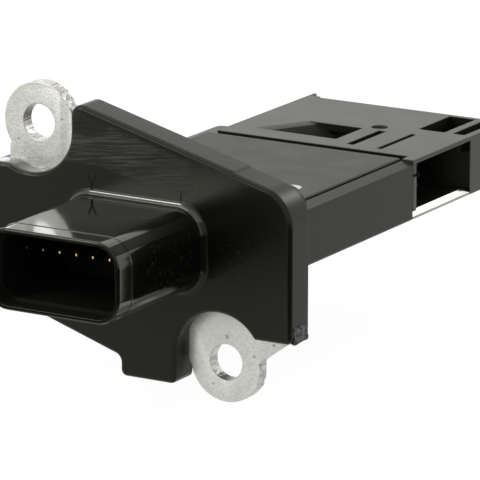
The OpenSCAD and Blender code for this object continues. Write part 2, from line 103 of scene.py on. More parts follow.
# %% A value that can be used in sums
class Value:
    def __init__(self, finish, socket):
        self.finish = finish
        self.socket = socket

    def __add__(self, other):
        return self.finish.sum("ADD", self, other)

    def __mul__(self, other):
        return self.finish.sum("MULTIPLY", self, other)

    def __sub__(self, other):
        return self.finish.sum("SUBTRACT", self, other)

    def __rsub__(self, other):
        return self.finish.sum("SUBTRACT", other, self)

    def __pow__(self, other):
        return self.finish.sum("POWER", self, other)

    __radd__ = __add__
    __rmul__ = __mul__

    def between(self, low, high):
        """0 below low, 1 above high, and smooth between them. With low above high it falls."""
        sign = 1 if low < high else -1
        side = self if sign > 0 else 0 - self
        return self.finish.node("ShaderNodeMapRange", {"interpolation_type": "SMOOTHSTEP"},
                                {"Value": side, "From Min": low * sign, "From Max": high * sign})


# %% [markdown]
# ## One way to make a node
# A material and the room are both trees of nodes. They could be built with a call for each kind
# of node. Here a Graph holds one tree, and its method node() makes every kind: first come the
# settings, then the inputs, each of them a number or the Value of another node. The operators of
# a Value use it for their Math nodes, so there is one place where nodes are made.

# %% The nodes of a material or of the room
class Graph:
    def __init__(self, tree):
        self.tree = tree

    def feed(self, socket, value):
        if isinstance(value, Value):
            self.tree.links.new(value.socket, socket)
        else:
            socket.default_value = value

    def node(self, kind, settings=None, inputs=None, output=0):
        made = self.tree.nodes.new(kind)
        for name, value in (settings or {}).items():
            setattr(made, name, value)
        for name, value in (inputs or {}).items():
            self.feed(made.inputs[name], value)
        return Value(self, made.outputs[output])

    def sum(self, operation, first, second=0.0):
        return self.node("ShaderNodeMath", {"operation": operation}, {0: first, 1: second})

    def least(self, first, second):
        return self.sum("MINIMUM", first, second)

    def most(self, first, second):
        return self.sum("MAXIMUM", first, second)


# %% [markdown]
# ## A material with one shader
# A Finish is the tree of one material. It knows each point's place on the piece in mm, and has a
# word for what the finishes below are made of: clouds, cells, spots, strokes and boxes. All of
# them read the piece's own place, so a pattern stays where it is when the camera moves.

# %% A finish and its patterns
STROKE_SIDE = 0.05  # over how many mm a stroke fades at its sides
STROKE_END = 0.1  # and at its ends


class Finish(Graph):
    def __init__(self, name):
        self.material = bpy.data.materials.new(name)
        self.material.use_nodes = True
        super().__init__(self.material.node_tree)
        self.shader = self.tree.nodes["Principled BSDF"]
        place = self.node("ShaderNodeTexCoord", output="Object")
        self.place = self.node("ShaderNodeVectorMath", {"operation": "SCALE"},
                               {"Vector": place, "Scale": float(MM)})
        self.x, self.y, self.z = (
            self.node("ShaderNodeSeparateXYZ", inputs={"Vector": self.place}, output=axis)
            for axis in "XYZ")

    def spread(self, size, turn=0.0):
        """The place in units of size, in mm along X, Y and Z, first turned about Y."""
        size = size if isinstance(size, tuple) else (size,) * 3
        turned = self.node("ShaderNodeVectorRotate", {"rotation_type": "Y_AXIS"},
                           {"Vector": self.place, "Angle": turn}) if turn else self.place
        return self.node("ShaderNodeMapping",
                         inputs={"Vector": turned, "Scale": tuple(1 / s for s in size)})

    def noise(self, size, detail=2.0, seed=0.0, turn=0.0):
        """Cloudy pattern from about 0.3 to 0.7 with spots of the given size in mm."""
        return self.node("ShaderNodeTexNoise", {"noise_dimensions": "4D"},
                         {"Vector": self.spread(size, turn), "W": seed, "Scale": 1.0,
                          "Detail": detail})

    def cells(self, size, seed=0.0):
        """Distance to the middle of the nearest of the cells of the given size in mm."""
        return self.node("ShaderNodeTexVoronoi", {"voronoi_dimensions": "4D"},
                         {"Vector": self.spread(size), "W": seed, "Scale": 1.0}, "Distance")

    def spot(self, middle, half, soft=0.5):
        """1 inside the oval about (x, z) with the half sizes (x, z) in mm. It looks along Y."""
        across = (self.x - middle[0]) * (1 / half[0])
        high = (self.z - middle[1]) * (1 / half[1])
        return (across ** 2.0 + high ** 2.0).between(1 + soft, 1 - soft)

    def stroke(self, first, last, width):
        """1 on the line between two points (x, z) in mm. It looks along Y."""
        way = Vector(last) - Vector(first)
        length = way.length
        way.normalize()
        right = self.x - first[0]
        high = self.z - first[1]
        aside = self.sum("ABSOLUTE", right * way.y - high * way.x)
        along = right * way.x + high * way.y
        return (aside.between(width / 2 + STROKE_SIDE, width / 2) * along.between(-STROKE_END, 0.0)
                * along.between(length + STROKE_END, length))

    def box(self, low, high, soft):
        """1 inside the box between two corners in mm, fading out over soft. None is an open side."""
        inside = None
        for along, a, b in zip((self.x, self.y, self.z), low, high):
            for edge, way in ((a, 1), (b, -1)):
                if edge is not None:
                    side = along.between(edge - way * soft / 2, edge + way * soft / 2)
                    inside = side if inside is None else inside * side
        return inside

    def mix(self, factor, first, second):
        """The first colour where factor is 0, and the second where it is 1."""
        first, second = (c if isinstance(c, Value) else (*c, 1.0) for c in (first, second))
        return self.node("ShaderNodeMix", {"data_type": "RGBA"}, {0: factor, 6: first, 7: second}, 2)

    def bump(self, height, depth, over=None):
        """Raises the surface by height times depth in mm. over is a bump that lies under it."""
        inputs = {"Height": height, "Distance": depth / MM, "Strength": 1.0}
        if over is not None:
            inputs["Normal"] = over
        return self.node("ShaderNodeBump", {}, inputs)

    def set(self, **sockets):
        """Feeds the shader's sockets, with _ for each space in their names."""
        for name, value in sockets.items():
            value = (*value, 1.0) if isinstance(value, tuple) else value
            self.feed(self.shader.inputs[name.replace("_", " ")], value)

    def wear(self, *pieces):
        """Puts this finish alone on the pieces."""
        for piece in pieces:
            piece.data.materials.clear()
            piece.data.materials.append(self.material)

    def wear_within(self, piece, low, high):
        """Puts this finish on the faces whose middle is in the box between two corners in mm."""
        piece.data.materials.append(self.material)
        for face in piece.data.polygons:
            if all(a < value < b for a, value, b in zip(low, face.center * MM, high)):
                face.material_index = len(piece.data.materials) - 1


# %% [markdown]
# ## The black housing plastic
# Plastic filled with glass fibre comes out of a polished mould nearly black and mirrors what is
# near it, most of all on the connector. One flat black would look like ink, so its gloss changes
# from zone to zone: polished on the connector, satin on the flange and dull on the probe. The
# zones could be materials of their own on groups of faces. They are masks instead, 1 where the
# zone is and fading over a few tenths of a millimetre, because gloss has no hard border here.

# %% Zones of the housing
FLANGE_FACE = -4.7
plastic = Finish("housing_plastic")
flange_front = plastic.box((None, FLANGE_FACE - 0.2, None), (None, FLANGE_FACE + 0.3, None), 0.2)
connector_skin = plastic.y.between(FLANGE_FACE - 0.5, FLANGE_FACE - 1.3)
probe_skin = plastic.y.between(0.2, 1.0)
flange_side = plastic.y.between(FLANGE_FACE, FLANGE_FACE + 0.3) - probe_skin
connector_body = plastic.box((None, -24.85, -2.0), (None, -5.1, None), 0.2)
notch_wall = plastic.box((-20.5, FLANGE_FACE + 0.3, 7.4), (-8.0, -1.9, 10.5), 0.3)
root_fillet = (plastic.box((None, None, 4.8), (12.4, -4.82, None), 0.12)
               * plastic.y.between(-6.6, -6.2))
polished = plastic.most(connector_body * 0.6, plastic.most(root_fillet, notch_wall))
print("zones of the housing:", len(plastic.tree.nodes), "nodes")

# %% [markdown]
# ## The rubbed patch
# The upper part of the flange's front was rubbed on something hard. Fine streaks run across it,
# with a few deeper gouges among them, and the patch ends in a ragged line. It could be a picture
# laid over the face. Here it is three noises that are stretched along the way of rubbing, inside
# a mask with a ragged rim, so it stays sharp in a close view.

# %% Rubbed patch on the upper left of the flange
TOP_EDGE = 16.4
TOP_SLANT = math.tan(math.radians(14.8))
RUB_SLANT = math.radians(8)
PATCH_END = 10.4
PATCH_FOOT = (8.4, 10.3)
SPARED_OVAL = ((-4.9, 15.4), (2.9, 1.5))

ragged = (plastic.noise(1.4, 5.0, seed=9.0) - 0.5) * 1.6
slanted_foot = 10.2 - (plastic.x + 3.2) * 0.26
foot = plastic.least(plastic.most(slanted_foot, PATCH_FOOT[0]), PATCH_FOOT[1])
below_edge = TOP_EDGE - plastic.x * TOP_SLANT - plastic.z
rubbed = ((plastic.z - foot + ragged * 0.4).between(-0.2, 0.5) * flange_front
          * (plastic.x + ragged).between(PATCH_END + 1, PATCH_END - 1)
          * (below_edge + ragged * 0.5).between(0.8, 1.6)
          * (1 - plastic.spot(*SPARED_OVAL) * 0.8))
streaks = plastic.noise((6.0, 2.0, 0.22), 5.0, seed=1.0, turn=RUB_SLANT).between(0.4, 0.62)
gouges = plastic.noise((3.0, 2.0, 0.14), 2.0, seed=12.0, turn=RUB_SLANT).between(0.55, 0.7)
broad = plastic.noise((9.0, 9.0, 3.0), 2.0, seed=2.0, turn=RUB_SLANT).between(0.35, 0.6)
scuff = rubbed * (0.15 + 0.7 * streaks + 0.7 * gouges) * (0.45 + 0.55 * broad)
print("with the rubbed patch:", len(plastic.tree.nodes), "nodes")

# %% [markdown]
# ## Marks, residue and dust
# A scratch like a small fork and a short line lie above the connector. Residue has dried on the
# connector's right side and a little on the flange, and dust lies everywhere. Each could be a
# thin mesh, but none has a thickness that shows. So strokes draw the scratches, a fine noise
# inside soft boxes gives the residue, and a speck in some cells of a pattern gives the dust.

# %% Marks, residue and dust on the housing
def dust(finish, size, rarity):
    """Mask of small bright specks, one in a cell of the given size in mm at most."""
    near = finish.cells(size, seed=3.0).between(0.06, 0.03)
    chosen = finish.noise(size * 2.3, 1.0, seed=8.0).between(rarity, rarity + 0.02)
    return near * chosen


FORK = (-4.45, 7.75)
FORK_WIDTH = 0.22
fork_arms = plastic.most(plastic.stroke((-5.05, 8.9), FORK, FORK_WIDTH),
                         plastic.stroke((-3.8, 8.9), FORK, FORK_WIDTH))
fork_stem = plastic.stroke(FORK, (-4.45, 6.95), 0.32)
short_line = plastic.stroke((9.1, 8.6), (9.1, 6.95), 0.12) * 0.6
marks = flange_front * plastic.most(fork_arms, plastic.most(fork_stem, short_line))
flecks = plastic.noise(0.45, 4.0, seed=7.0).between(0.52, 0.66)
on_connector = plastic.box((11.5, -19, -3), (13, -6.5, 5), 2.5)
on_flange = flange_front * plastic.spot((17.5, 1), (2.8, 3.6), 0.9) * 0.3
residue = flecks * plastic.most(on_connector, on_flange)
specks = dust(plastic, 2.1, 0.58)
print("with marks, residue and dust:", len(plastic.tree.nodes), "nodes")

# %% [markdown]
# ## The housing plastic put together
# Colour changes little, from black to a warm grey where the skin is rubbed or dirty. Most of the
# work is done by roughness and by three bumps, one over the other: scratches, the low hills of
# a moulded face, and a fine grain on the satin parts. A clear coat stands for the polished
# zones, since it mirrors sharply over a plastic that doesn't.

# %% Housing plastic
WARM = (1.0, 1.0, 0.84)
haze = plastic.noise(1.1, 4.0, seed=4.0)
skin = plastic.noise(0.16, 2.0, seed=5.0)
orange_peel = plastic.noise(1.6, 1.0, seed=6.0)
satin = plastic.most(probe_skin, flange_front)
black = plastic.mix(probe_skin, (0.005, 0.005, 0.0042), (0.016, 0.016, 0.0136))
greyed = plastic.mix(plastic.most(scuff, residue * 0.22), black, (0.066, 0.065, 0.056))
scratched = plastic.mix(marks, greyed, (0.001, 0.001, 0.001))
scratch_bump = plastic.bump(scuff * streaks - scuff * gouges + residue * 0.3, 0.02)
hill_bump = plastic.bump(orange_peel, 0.01, scratch_bump)
plastic.set(
    Base_Color=plastic.mix(specks * 0.7, scratched, (0.3, 0.29, 0.27)),
    Roughness=(0.19 - connector_skin * 0.08 + probe_skin * 0.22 + scuff * 0.3 + specks * 0.3
               + haze * 0.05 + residue * 0.2 + marks * 0.6 + flange_side * 0.14),
    Specular_IOR_Level=0.21,
    Coat_Weight=polished,
    Coat_Roughness=0.09,
    Specular_Tint=WARM,
    Normal=plastic.bump(skin * satin, 0.006, hill_bump))
print("housing plastic:", len(plastic.tree.nodes), "nodes")

# %% [markdown]
# ## The plastics of the cover and the tip
# The cover and the tip are separate mouldings out of spark-eroded moulds, so they are duller
# than the housing and turn grey where the light grazes them. The thin cover under the tip is
# smooth and catches the lamps like a mirror, and its outer edge gets a painted highlight: a pale
# colour. Deep inside the socket and the air passage the shade is painted: the skin there is given
# a dull, dark plastic. One function makes all five, since they differ only in tone, roughness,
# grain and gloss.

# %% Cover and tip plastics
def dull_plastic(name, tone, rough, grain, gloss):
    """Moulded plastic with an eroded grain in mm. Its colour is kept as its tone."""
    finish = Finish(name)
    fine = finish.noise(grain, 3.0, seed=1.0)
    cloud = finish.noise(5.0, 3.0, seed=2.0)
    specks = dust(finish, 1.6, 0.6)
    skin = finish.mix(cloud.between(0.3, 0.7), tone, tuple(c * 1.3 for c in tone))
    finish.tone = finish.mix(specks, skin, (0.25, 0.24, 0.22))
    finish.set(
        Base_Color=finish.tone,
        Roughness=rough + (cloud - 0.5) * 0.14 + (fine - 0.5) * 0.1,
        Specular_IOR_Level=gloss,
        Specular_Tint=WARM,
        Normal=finish.bump(fine, 0.01))
    print(name, "made")
    return finish


cover_plastic = dull_plastic("cover_plastic", (0.01, 0.01, 0.0085), 0.46, 0.12, 0.15)
tip_plastic = dull_plastic("tip_plastic", (0.034, 0.034, 0.029), 0.46, 0.1, 0.36)
lip_plastic = dull_plastic("lip_plastic", (0.02, 0.02, 0.018), 0.1, 0.1, 1.0)
# Painted highlight: a pale colour for the thin cover's right edge, where the lamps catch it
painted_highlight_plastic = dull_plastic("painted_highlight_plastic", (0.45, 0.45, 0.42), 0.3, 0.1, 0.5)
# Painted shade: a dark, dull plastic for the hollows inside the socket and the air passage
painted_shade_plastic = dull_plastic("painted_shade_plastic", (0.006, 0.006, 0.005), 0.6, 0.1, 0.1)

# %% [markdown]
# ## A painted glint on the circuit cover
# A small white spot lies on the circuit cover, and its end shows beside the flange. It is a painted
# glint: a highlight given as colour. It could be a flat disc, but a colour needs no mesh. So the
# cover's colour turns white within a short distance of one point.

# %% Painted glint on the circuit cover
PAINTED_GLINT_MIDDLE = (12.0, 18.9, 4.4)
PAINTED_GLINT_RADIUS = 1.3
PAINTED_GLINT_RIM = 0.1
glint_distance = cover_plastic.node("ShaderNodeVectorMath", {"operation": "DISTANCE"},
                                  {0: cover_plastic.place, 1: PAINTED_GLINT_MIDDLE}, "Value")
# Painted glint: 1 near the point, where the cover's colour turns white
painted_glint = glint_distance.between(PAINTED_GLINT_RADIUS + PAINTED_GLINT_RIM, PAINTED_GLINT_RADIUS)
cover_plastic.set(Base_Color=cover_plastic.mix(painted_glint, cover_plastic.tone, (0.85, 0.85, 0.84)))
print("dab of", PAINTED_GLINT_RADIUS * 2, "mm at", PAINTED_GLINT_MIDDLE)

# %% [markdown]
# ## The plate's aluminium
# The plate is stamped from soft aluminium sheet: dull, finely mottled, with a few small pits.
# Its face is also painted lighter towards the lower lug, as painted light.
# Its cut edges are sheared and torn by the press, so they are streaked across the sheet and bent
# more by the bump. They could get a material of their own. Here an attribute of the plate's
# faces says which are cut, and one finish serves both. It is filled in when the plate is made.

# %% Aluminium sheet with pits and cut edges
PITS = [(14.45, -10.9, 0.28), (18.52, -13.0, 0.24), (21.5, -11.0, 0.2), (-10.7, 15.0, 0.16),
        (-17.6, 11.6, 0.14), (12.4, -17.5, 0.16)]
CUT_EDGE = "cut_edge"
sheet = Finish("plate_aluminium")
cut_edge = sheet.node("ShaderNodeAttribute", {"attribute_name": CUT_EDGE}, output="Fac")
grain = sheet.noise(0.3, 4.0, seed=1.0)
mottle = sheet.noise(1.6, 3.0, seed=2.0)
sheared = sheet.noise((0.35, 2.5, 0.35), 4.0, seed=3.0)
pits = 0.0
for x, z, size in PITS:
    pits = sheet.spot((x, z), (size, size), 0.7) + pits
# Painted light: besides grain and mottle, the face's tone is made lighter towards the lower lug
bright = (grain * 0.7 + mottle * 0.3).between(0.36, 0.64) * 0.6 + sheet.z.between(8, -8) * 0.4
face_tone = sheet.mix(bright, (0.52, 0.52, 0.483), (0.74, 0.74, 0.688))
edge_tone = sheet.mix(sheared.between(0.35, 0.65), (0.4, 0.39, 0.37), (0.72, 0.71, 0.67))
clean_tone = sheet.mix(cut_edge, face_tone, edge_tone)
face_bump = sheet.bump(grain + mottle * 0.5 - pits * 1.2, 0.045)
sheet.set(
    Base_Color=sheet.mix(pits * 0.55, clean_tone, (0.16, 0.16, 0.15)),
    Metallic=0.6,
    Roughness=0.42 + (grain - 0.5) * 0.3 - cut_edge * 0.1,
    Normal=sheet.bump(sheared * cut_edge, 0.14, face_bump))
print("plate aluminium with", len(PITS), "pits:", len(sheet.tree.nodes), "nodes")

# %% [markdown]
# ## Gold tips and painted shade on the pins
# In the shade of the socket only the tips of the pins shine. That shade is painted: the pins' sides
# get a dark colour, and so do the tips of the two pins on the left. That could be two finishes. One
# is enough for all six pins, since it reads where a point lies: gold at the tips, and painted shade
# on the sides and to the left.

# %% Pin finish with painted shade
gold = Finish("terminal_gold")
# Painted shade: 1 at the gold tips, 0 on the pins' sides and on the two left tips
gold_outside_painted_shade = gold.y.between(-20.75, -20.95) * gold.x.between(-2.6, 1.0)
gold_cloud = gold.noise(0.3, 4.0, seed=1.0)
# Painted shade: the dark colour that stands for the shade on the pins
painted_shade_side = gold.mix(gold_cloud.between(0.35, 0.65), (0.035, 0.026, 0.014), (0.06, 0.045, 0.022))
gold.set(
    Base_Color=gold.mix(gold_outside_painted_shade, painted_shade_side, (0.9, 0.62, 0.26)),
    Metallic=1.0,
    Roughness=0.55 - gold_outside_painted_shade * 0.28 + (gold_cloud - 0.5) * 0.2,
    Normal=gold.bump(gold_cloud, 0.01))
print("terminal gold:", len(gold.tree.nodes), "nodes")

# %% [markdown]
# ## The metals inside
# The base plate is rolled aluminium, the bond wires are drawn aluminium and the sensing posts
# are nickel. Each could be drawn up by itself, but all three are bare metal with a cloudy sheen,
# so one function makes them from a colour, a roughness and the size of the clouds.

# %% Base, wire and post metals
def metal(name, colour, rough, size, depth):
    """Bare metal with cloudy roughness and dents of the given size and depth in mm."""
    finish = Finish(name)
    cloud = finish.noise(size, 4.0, seed=1.0)
    fine = finish.noise(size / 6, 2.0, seed=2.0)
    finish.set(
        Base_Color=finish.mix(cloud.between(0.3, 0.7), tuple(c * 0.86 for c in colour), colour),
        Metallic=1.0,
        Roughness=rough + (cloud - 0.5) * 0.3,
        Normal=finish.bump(fine + cloud, depth))
    print(name, "made")
    return finish


base_metal = metal("base_aluminium", (0.7, 0.71, 0.72), 0.45, 1.4, 0.02)
wire_metal = metal("wire_aluminium", (0.85, 0.85, 0.86), 0.25, 0.3, 0.004)
post_metal = metal("post_nickel", (0.72, 0.68, 0.6), 0.3, 0.5, 0.008)

# %% [markdown]
# ## Rubber, ceramic, chips, gel and glass
# Most of these show only when the cover is lifted or someone looks into the air passage. Each
# is given what tells it apart: rubber is dull with a fine bloom, ceramic is white and even,
# chips are moulded epoxy, the gel is clear and soft, and the thermistor and its leads are dark.

# %% Soft, brittle and dark finishes
def dull(name, first, second, rough, size, depth, **more):
    """A finish that changes between two colours in spots of the given size in mm."""
    finish = Finish(name)
    cloud = finish.noise(size, 4.0, seed=1.0)
    finish.set(
        Base_Color=finish.mix(cloud.between(0.32, 0.68), first, second),
        Roughness=rough + (cloud - 0.5) * 0.2,
        Normal=finish.bump(cloud, depth), **more)
    print(name, "made")
    return finish


FAINT_GLOSS = 0.08
rubber = dull("seal_rubber", (0.012, 0.012, 0.013), (0.03, 0.03, 0.03), 0.6, 0.5, 0.02)
ceramic = dull("board_ceramic", (0.66, 0.65, 0.6), (0.78, 0.77, 0.72), 0.55, 1.2, 0.01)
chip_case = dull("chip_case", (0.012, 0.012, 0.013), (0.022, 0.022, 0.022), 0.5, 0.3, 0.01)
capacitor = dull("capacitor_ceramic", (0.35, 0.25, 0.13), (0.48, 0.35, 0.2), 0.4, 0.4, 0.01)
gel = dull("silicone_gel", (0.75, 0.8, 0.82), (0.85, 0.88, 0.9), 0.15, 3.0, 0.03,
           Transmission_Weight=0.85, IOR=1.41)
glass = dull("element_glass", (0.72, 0.7, 0.62), (0.85, 0.83, 0.76), 0.25, 0.3, 0.01,
             Coat_Weight=0.6)
bead = dull("thermistor_glass", (0.003, 0.003, 0.003), (0.006, 0.007, 0.006), 0.6, 0.3, 0.005,
            Specular_IOR_Level=FAINT_GLOSS)
dark_lead = dull("thermistor_lead", (0.004, 0.004, 0.003), (0.008, 0.007, 0.006), 0.6, 0.5, 0.01,
                 Specular_IOR_Level=FAINT_GLOSS)

# %% [markdown]
# ## Dressing the solids
# A CAD solid whose shape is right only needs its finish. The finish is found by the start of the
# solid's name, so that all pieces of one kind are dressed alike. The solids that get a copy
# further down are dressed there.

# %% Dress the CAD nodes by name
DRESS = {
    "terminal_": gold,
    "base_plate": base_metal,
    "circuit_board": ceramic,
    "control_chip": chip_case,
    "chip_capacitors": capacitor,
    "chip_resistors": chip_case,
    "circuit_gel": gel,
    "bond_wires": wire_metal,
    "heater_post": post_metal,
    "reference_post": post_metal,
    "thermistor_lead": dark_lead,
    "heating_element": glass,
    "reference_element": glass,
    "air_thermistor": bead,
    "seal_ring": rubber}
dressed = 0
for name, node in nodes.items():
    for start, finish in DRESS.items():
        if name.startswith(start):
            finish.wear(node)
            dressed += 1
print(dressed, "of", len(nodes), "CAD nodes dressed")

# %% [markdown]
# ## Copies of the mouldings
# A CAD solid has knife-sharp edges, and a mould never gives them: each has a radius of a tenth
# of a millimetre or so, which catches a thin line of light. The pieces could be modelled again
# from boxes, but their shape is already right. So the solid's mesh is copied, and its loose
# triangles are merged into whole faces, which a bevel can work on.

# %% Copy a node and merge its faces
SAME_POINT = 2e-6
FLAT = math.radians(0.6)


def work_on(piece):
    """Selects the piece alone and makes it the active one."""
    bpy.ops.object.select_all(action="DESELECT")
    piece.select_set(True)
    bpy.context.view_layer.objects.active = piece


def belongs(piece, node=None):
    """Fixes the piece to the sensor, and lets it stand for a node."""
    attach(piece, "root")
    if node:
        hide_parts(node)


def whole_copy(node, name):
    """A copy of a CAD node, merged into whole flat faces, that stands for the node."""
    piece = bpy.data.objects.new(name, nodes[node].data.copy())
    bpy.context.collection.objects.link(piece)
    work_on(piece)
    bpy.ops.object.mode_set(mode="EDIT")
    bpy.ops.mesh.select_all(action="SELECT")
    bpy.ops.mesh.remove_doubles(threshold=SAME_POINT)
    bpy.ops.mesh.dissolve_limited(angle_limit=FLAT)
    bpy.ops.mesh.select_all(action="DESELECT")
    bpy.ops.object.mode_set(mode="OBJECT")
    bpy.ops.mesh.customdata_custom_splitnormals_clear()
    belongs(piece, node)
    return piece


# %% [markdown]
# ## Moving points
# Some copies need an edge moved by up to a millimetre. By hand one would click the points. In
# code they are picked by their place, which finds the same points on every run.

# %% Move some of a piece's points
def pick_points(piece, wanted):
    """Goes to edit mode with the points selected for which wanted(place in mm) is true."""
    work_on(piece)
    bpy.ops.object.mode_set(mode="EDIT")
    bpy.ops.mesh.select_mode(type="VERT")
    bpy.ops.mesh.select_all(action="DESELECT")
    bpy.ops.object.mode_set(mode="OBJECT")
    for point in piece.data.vertices:
        point.select = wanted(point.co * MM)
    bpy.ops.object.mode_set(mode="EDIT")
    return sum(point.select for point in piece.data.vertices)


def shift(piece, wanted, way):
    """Moves the wanted points by way in mm."""
    count = pick_points(piece, wanted)
    bpy.ops.transform.translate(value=Vector(way) / MM)
    bpy.ops.object.mode_set(mode="OBJECT")
    print(piece.name, "moved", count, "points by", way)


# %% [markdown]
# ## Rounding edges
# The bevel works only on edges that are sharp enough, so that the facets of a curved wall stay
# as they are. Weighted normals then keep the large faces flat to the light, and only the narrow
# bevels turn it.

# %% Round the sharp edges
SMOOTH_BELOW = math.radians(35)
FACE_WEIGHT = 80


def apply(piece, kind, **settings):
    """Adds a modifier and applies it."""
    work_on(piece)
    modifier = piece.modifiers.new(kind.lower(), kind)
    for key, value in settings.items():
        setattr(modifier, key, value)
    bpy.ops.object.modifier_apply(modifier=modifier.name)


def round_edges(piece, radius, angle=40, steps=2):
    """Rounds the edges sharper than angle degrees, with a radius in mm."""
    apply(piece, "BEVEL", width=radius / MM, segments=steps, limit_method="ANGLE",
          angle_limit=math.radians(angle), use_clamp_overlap=False, miter_outer="MITER_ARC")
    work_on(piece)
    bpy.ops.object.shade_smooth_by_angle(angle=SMOOTH_BELOW)
    apply(piece, "WEIGHTED_NORMAL", keep_sharp=True, weight=FACE_WEIGHT)
    print(piece.name, "has", len(piece.data.polygons), "faces")


# %% [markdown]
# ## The housing
# Flange, connector, neck and circuit case are one moulding. The faces inside the socket get the
# dull dark finish, because hardly any light comes back out of it. A mask could do that too, but
# the border lies on an edge, so a second material on those faces is simpler.

# %% Housing
MOULD_EDGE = 0.1
SOCKET = ((-7.4, -24.8, -4.0), (11.7, -7.4, 5.6))
housing = whole_copy("housing", "moulded_housing")
round_edges(housing, MOULD_EDGE)
plastic.wear(housing)
# Painted shade: the faces inside the socket get the dark plastic
painted_shade_plastic.wear_within(housing, *SOCKET)

# %% [markdown]
# ## The circuit cover
# The cover lies between the rims of the case. A dark joint shows at its far end and along its
# right side. The joint could be cut into the case. It is easier to draw the copy in by a little.

# %% Circuit cover
COVER_EDGE = 0.14
cover = whole_copy("circuit_cover", "moulded_cover")
shift(cover, lambda place: place.y > 41.4, (0, -0.7, 0))
shift(cover, lambda place: place.x > 16.6, (-0.2, 0, 0))
round_edges(cover, COVER_EDGE)
cover_plastic.wear(cover)

# %% [markdown]
# ## The tip and the thin cover under it
# The tip is a hollow moulding with the air passage in it, and a thin cover closes it from below.
# The passage and the pockets get the dark plastic, which paints their shade. The cover's right edge
# gets the pale one, a painted highlight.

# %% Bypass body and its cover
PASSAGE = ((-13.1, 40.6, -3.7), (18.4, 67.1, 4.15))
# Painted highlight: the faces of the thin cover's right edge that get the pale colour
PAINTED_HIGHLIGHT_SIDE = ((18.55, 40, -5), (18.7, 58, -3.5))
tip = whole_copy("bypass_body", "moulded_tip")
round_edges(tip, MOULD_EDGE)
tip_plastic.wear(tip)
# Painted shade: the air passage and its pockets get the dark plastic instead of the tip's own
painted_shade_plastic.wear_within(tip, *PASSAGE)
tip_cover = whole_copy("bypass_cover", "moulded_tip_cover")
round_edges(tip_cover, MOULD_EDGE)
lip_plastic.wear(tip_cover)
painted_highlight_plastic.wear_within(tip_cover, *PAINTED_HIGHLIGHT_SIDE)

# %% [markdown]
# ## The stamped plate
# A press cuts the plate out of sheet, and the plastic is moulded round it. The metal reaches the
# wall of each notch in the flange. The plate starts as a copy of the CAD solid. Cuts beside the
# notches give it new points, the window's edge is moved behind each notch, and two webs are made
# wider. Then a bevel with more steps rolls its edges over, as the press does.

# %% Plate that reaches the walls of its notches
WINDOW_TOP = 8.3
WINDOW_FOOT = -8.0
UPPER_WEB = -18.42
LOWER_WEB = 8.92
CUTS = (-11.0, -10.6, 8.4, 8.8)
PLATE_EDGE = 0.16

plate = whole_copy("mounting_plate", "stamped_plate")
work_on(plate)
bpy.ops.object.mode_set(mode="EDIT")
for across in CUTS:
    bpy.ops.mesh.select_all(action="SELECT")
    bpy.ops.mesh.bisect(plane_co=(across / MM, 0, 0), plane_no=(1, 0, 0))
bpy.ops.object.mode_set(mode="OBJECT")
shift(plate, lambda place: place.x < -10.9 and abs(place.z - WINDOW_TOP) < 0.06, (0, 0, -0.45))
shift(plate, lambda place: place.x > 8.7 and abs(place.z - WINDOW_FOOT) < 0.06, (0, 0, 1.0))
shift(plate, lambda place: abs(place.x - UPPER_WEB) < 0.03 and place.z > 0, (-0.5, 0, 0))
shift(plate, lambda place: abs(place.x - LOWER_WEB) < 0.03 and place.z < 0, (-0.3, 0, 0))
round_edges(plate, PLATE_EDGE, angle=50, steps=3)

# %% [markdown]
# ## Chips in the lugs
# A piece is broken out of the edge of each lug. It could be carved point by point. It is quicker
# to push a rough block into the plate and to take away what they share. The block is a cube
# whose faces are divided and whose points are moved at random, always by the same seed.

# %% Two chips
CHIPS = (
    {"middle": (-9.9, -1.0, 18.75), "size": (2.0, 3.4, 4.0), "turn": -41, "rough": 0.16, "seed": 3},
    {"middle": (20.2, -1.0, -15.35), "size": (2.0, 3.4, 3.7), "turn": 6, "rough": 0.14, "seed": 5})


def chip(piece, middle, size, turn, rough, seed):
    """Breaks a piece with a block that is rough by so many mm. turn is about Y, in degrees."""
    bpy.ops.object.select_all(action="DESELECT")
    bpy.ops.mesh.primitive_cube_add(size=1 / MM)
    block = bpy.context.active_object
    bpy.ops.object.mode_set(mode="EDIT")
    bpy.ops.mesh.select_all(action="SELECT")
    bpy.ops.mesh.subdivide(number_cuts=7)
    bpy.ops.transform.resize(value=size)
    bpy.ops.transform.vertex_random(offset=rough / MM, uniform=1.0, normal=0.0, seed=seed)
    bpy.ops.object.mode_set(mode="OBJECT")
    block.rotation_euler.y = math.radians(turn)
    block.location = Vector(middle) / MM
    bpy.context.view_layer.update()
    apply(piece, "BOOLEAN", object=block, operation="DIFFERENCE", solver="EXACT")
    bpy.data.objects.remove(block)
    print(piece.name, "chipped at", middle)


for broken in CHIPS:
    chip(plate, **broken)

# %% [markdown]
# ## Where the sheet was cut
# The aluminium finish needs to know which faces were cut or broken. They could be painted by
# hand. But a cut face looks sideways and the sheet's own faces look along Y, so each face gets
# its number by its normal.

# %% Mark the cut faces
SIDEWAYS = 0.6
marked = plate.data.attributes.new(CUT_EDGE, "FLOAT", "FACE")
for face in plate.data.polygons:
    marked.data[face.index].value = 1.0 if abs(face.normal.y) < SIDEWAYS else 0.0
sheet.wear(plate)
print(sum(entry.value > 0 for entry in marked.data), "cut faces of", len(marked.data))

# %% [markdown]
# ## The stub of the gate
# The melt enters the mould at the right side of the flange. There the sprue is snapped off, and
# a torn stub of glass-filled plastic stays. It is a block whose faces are divided and pushed
# about, so that it breaks the light as torn plastic does.

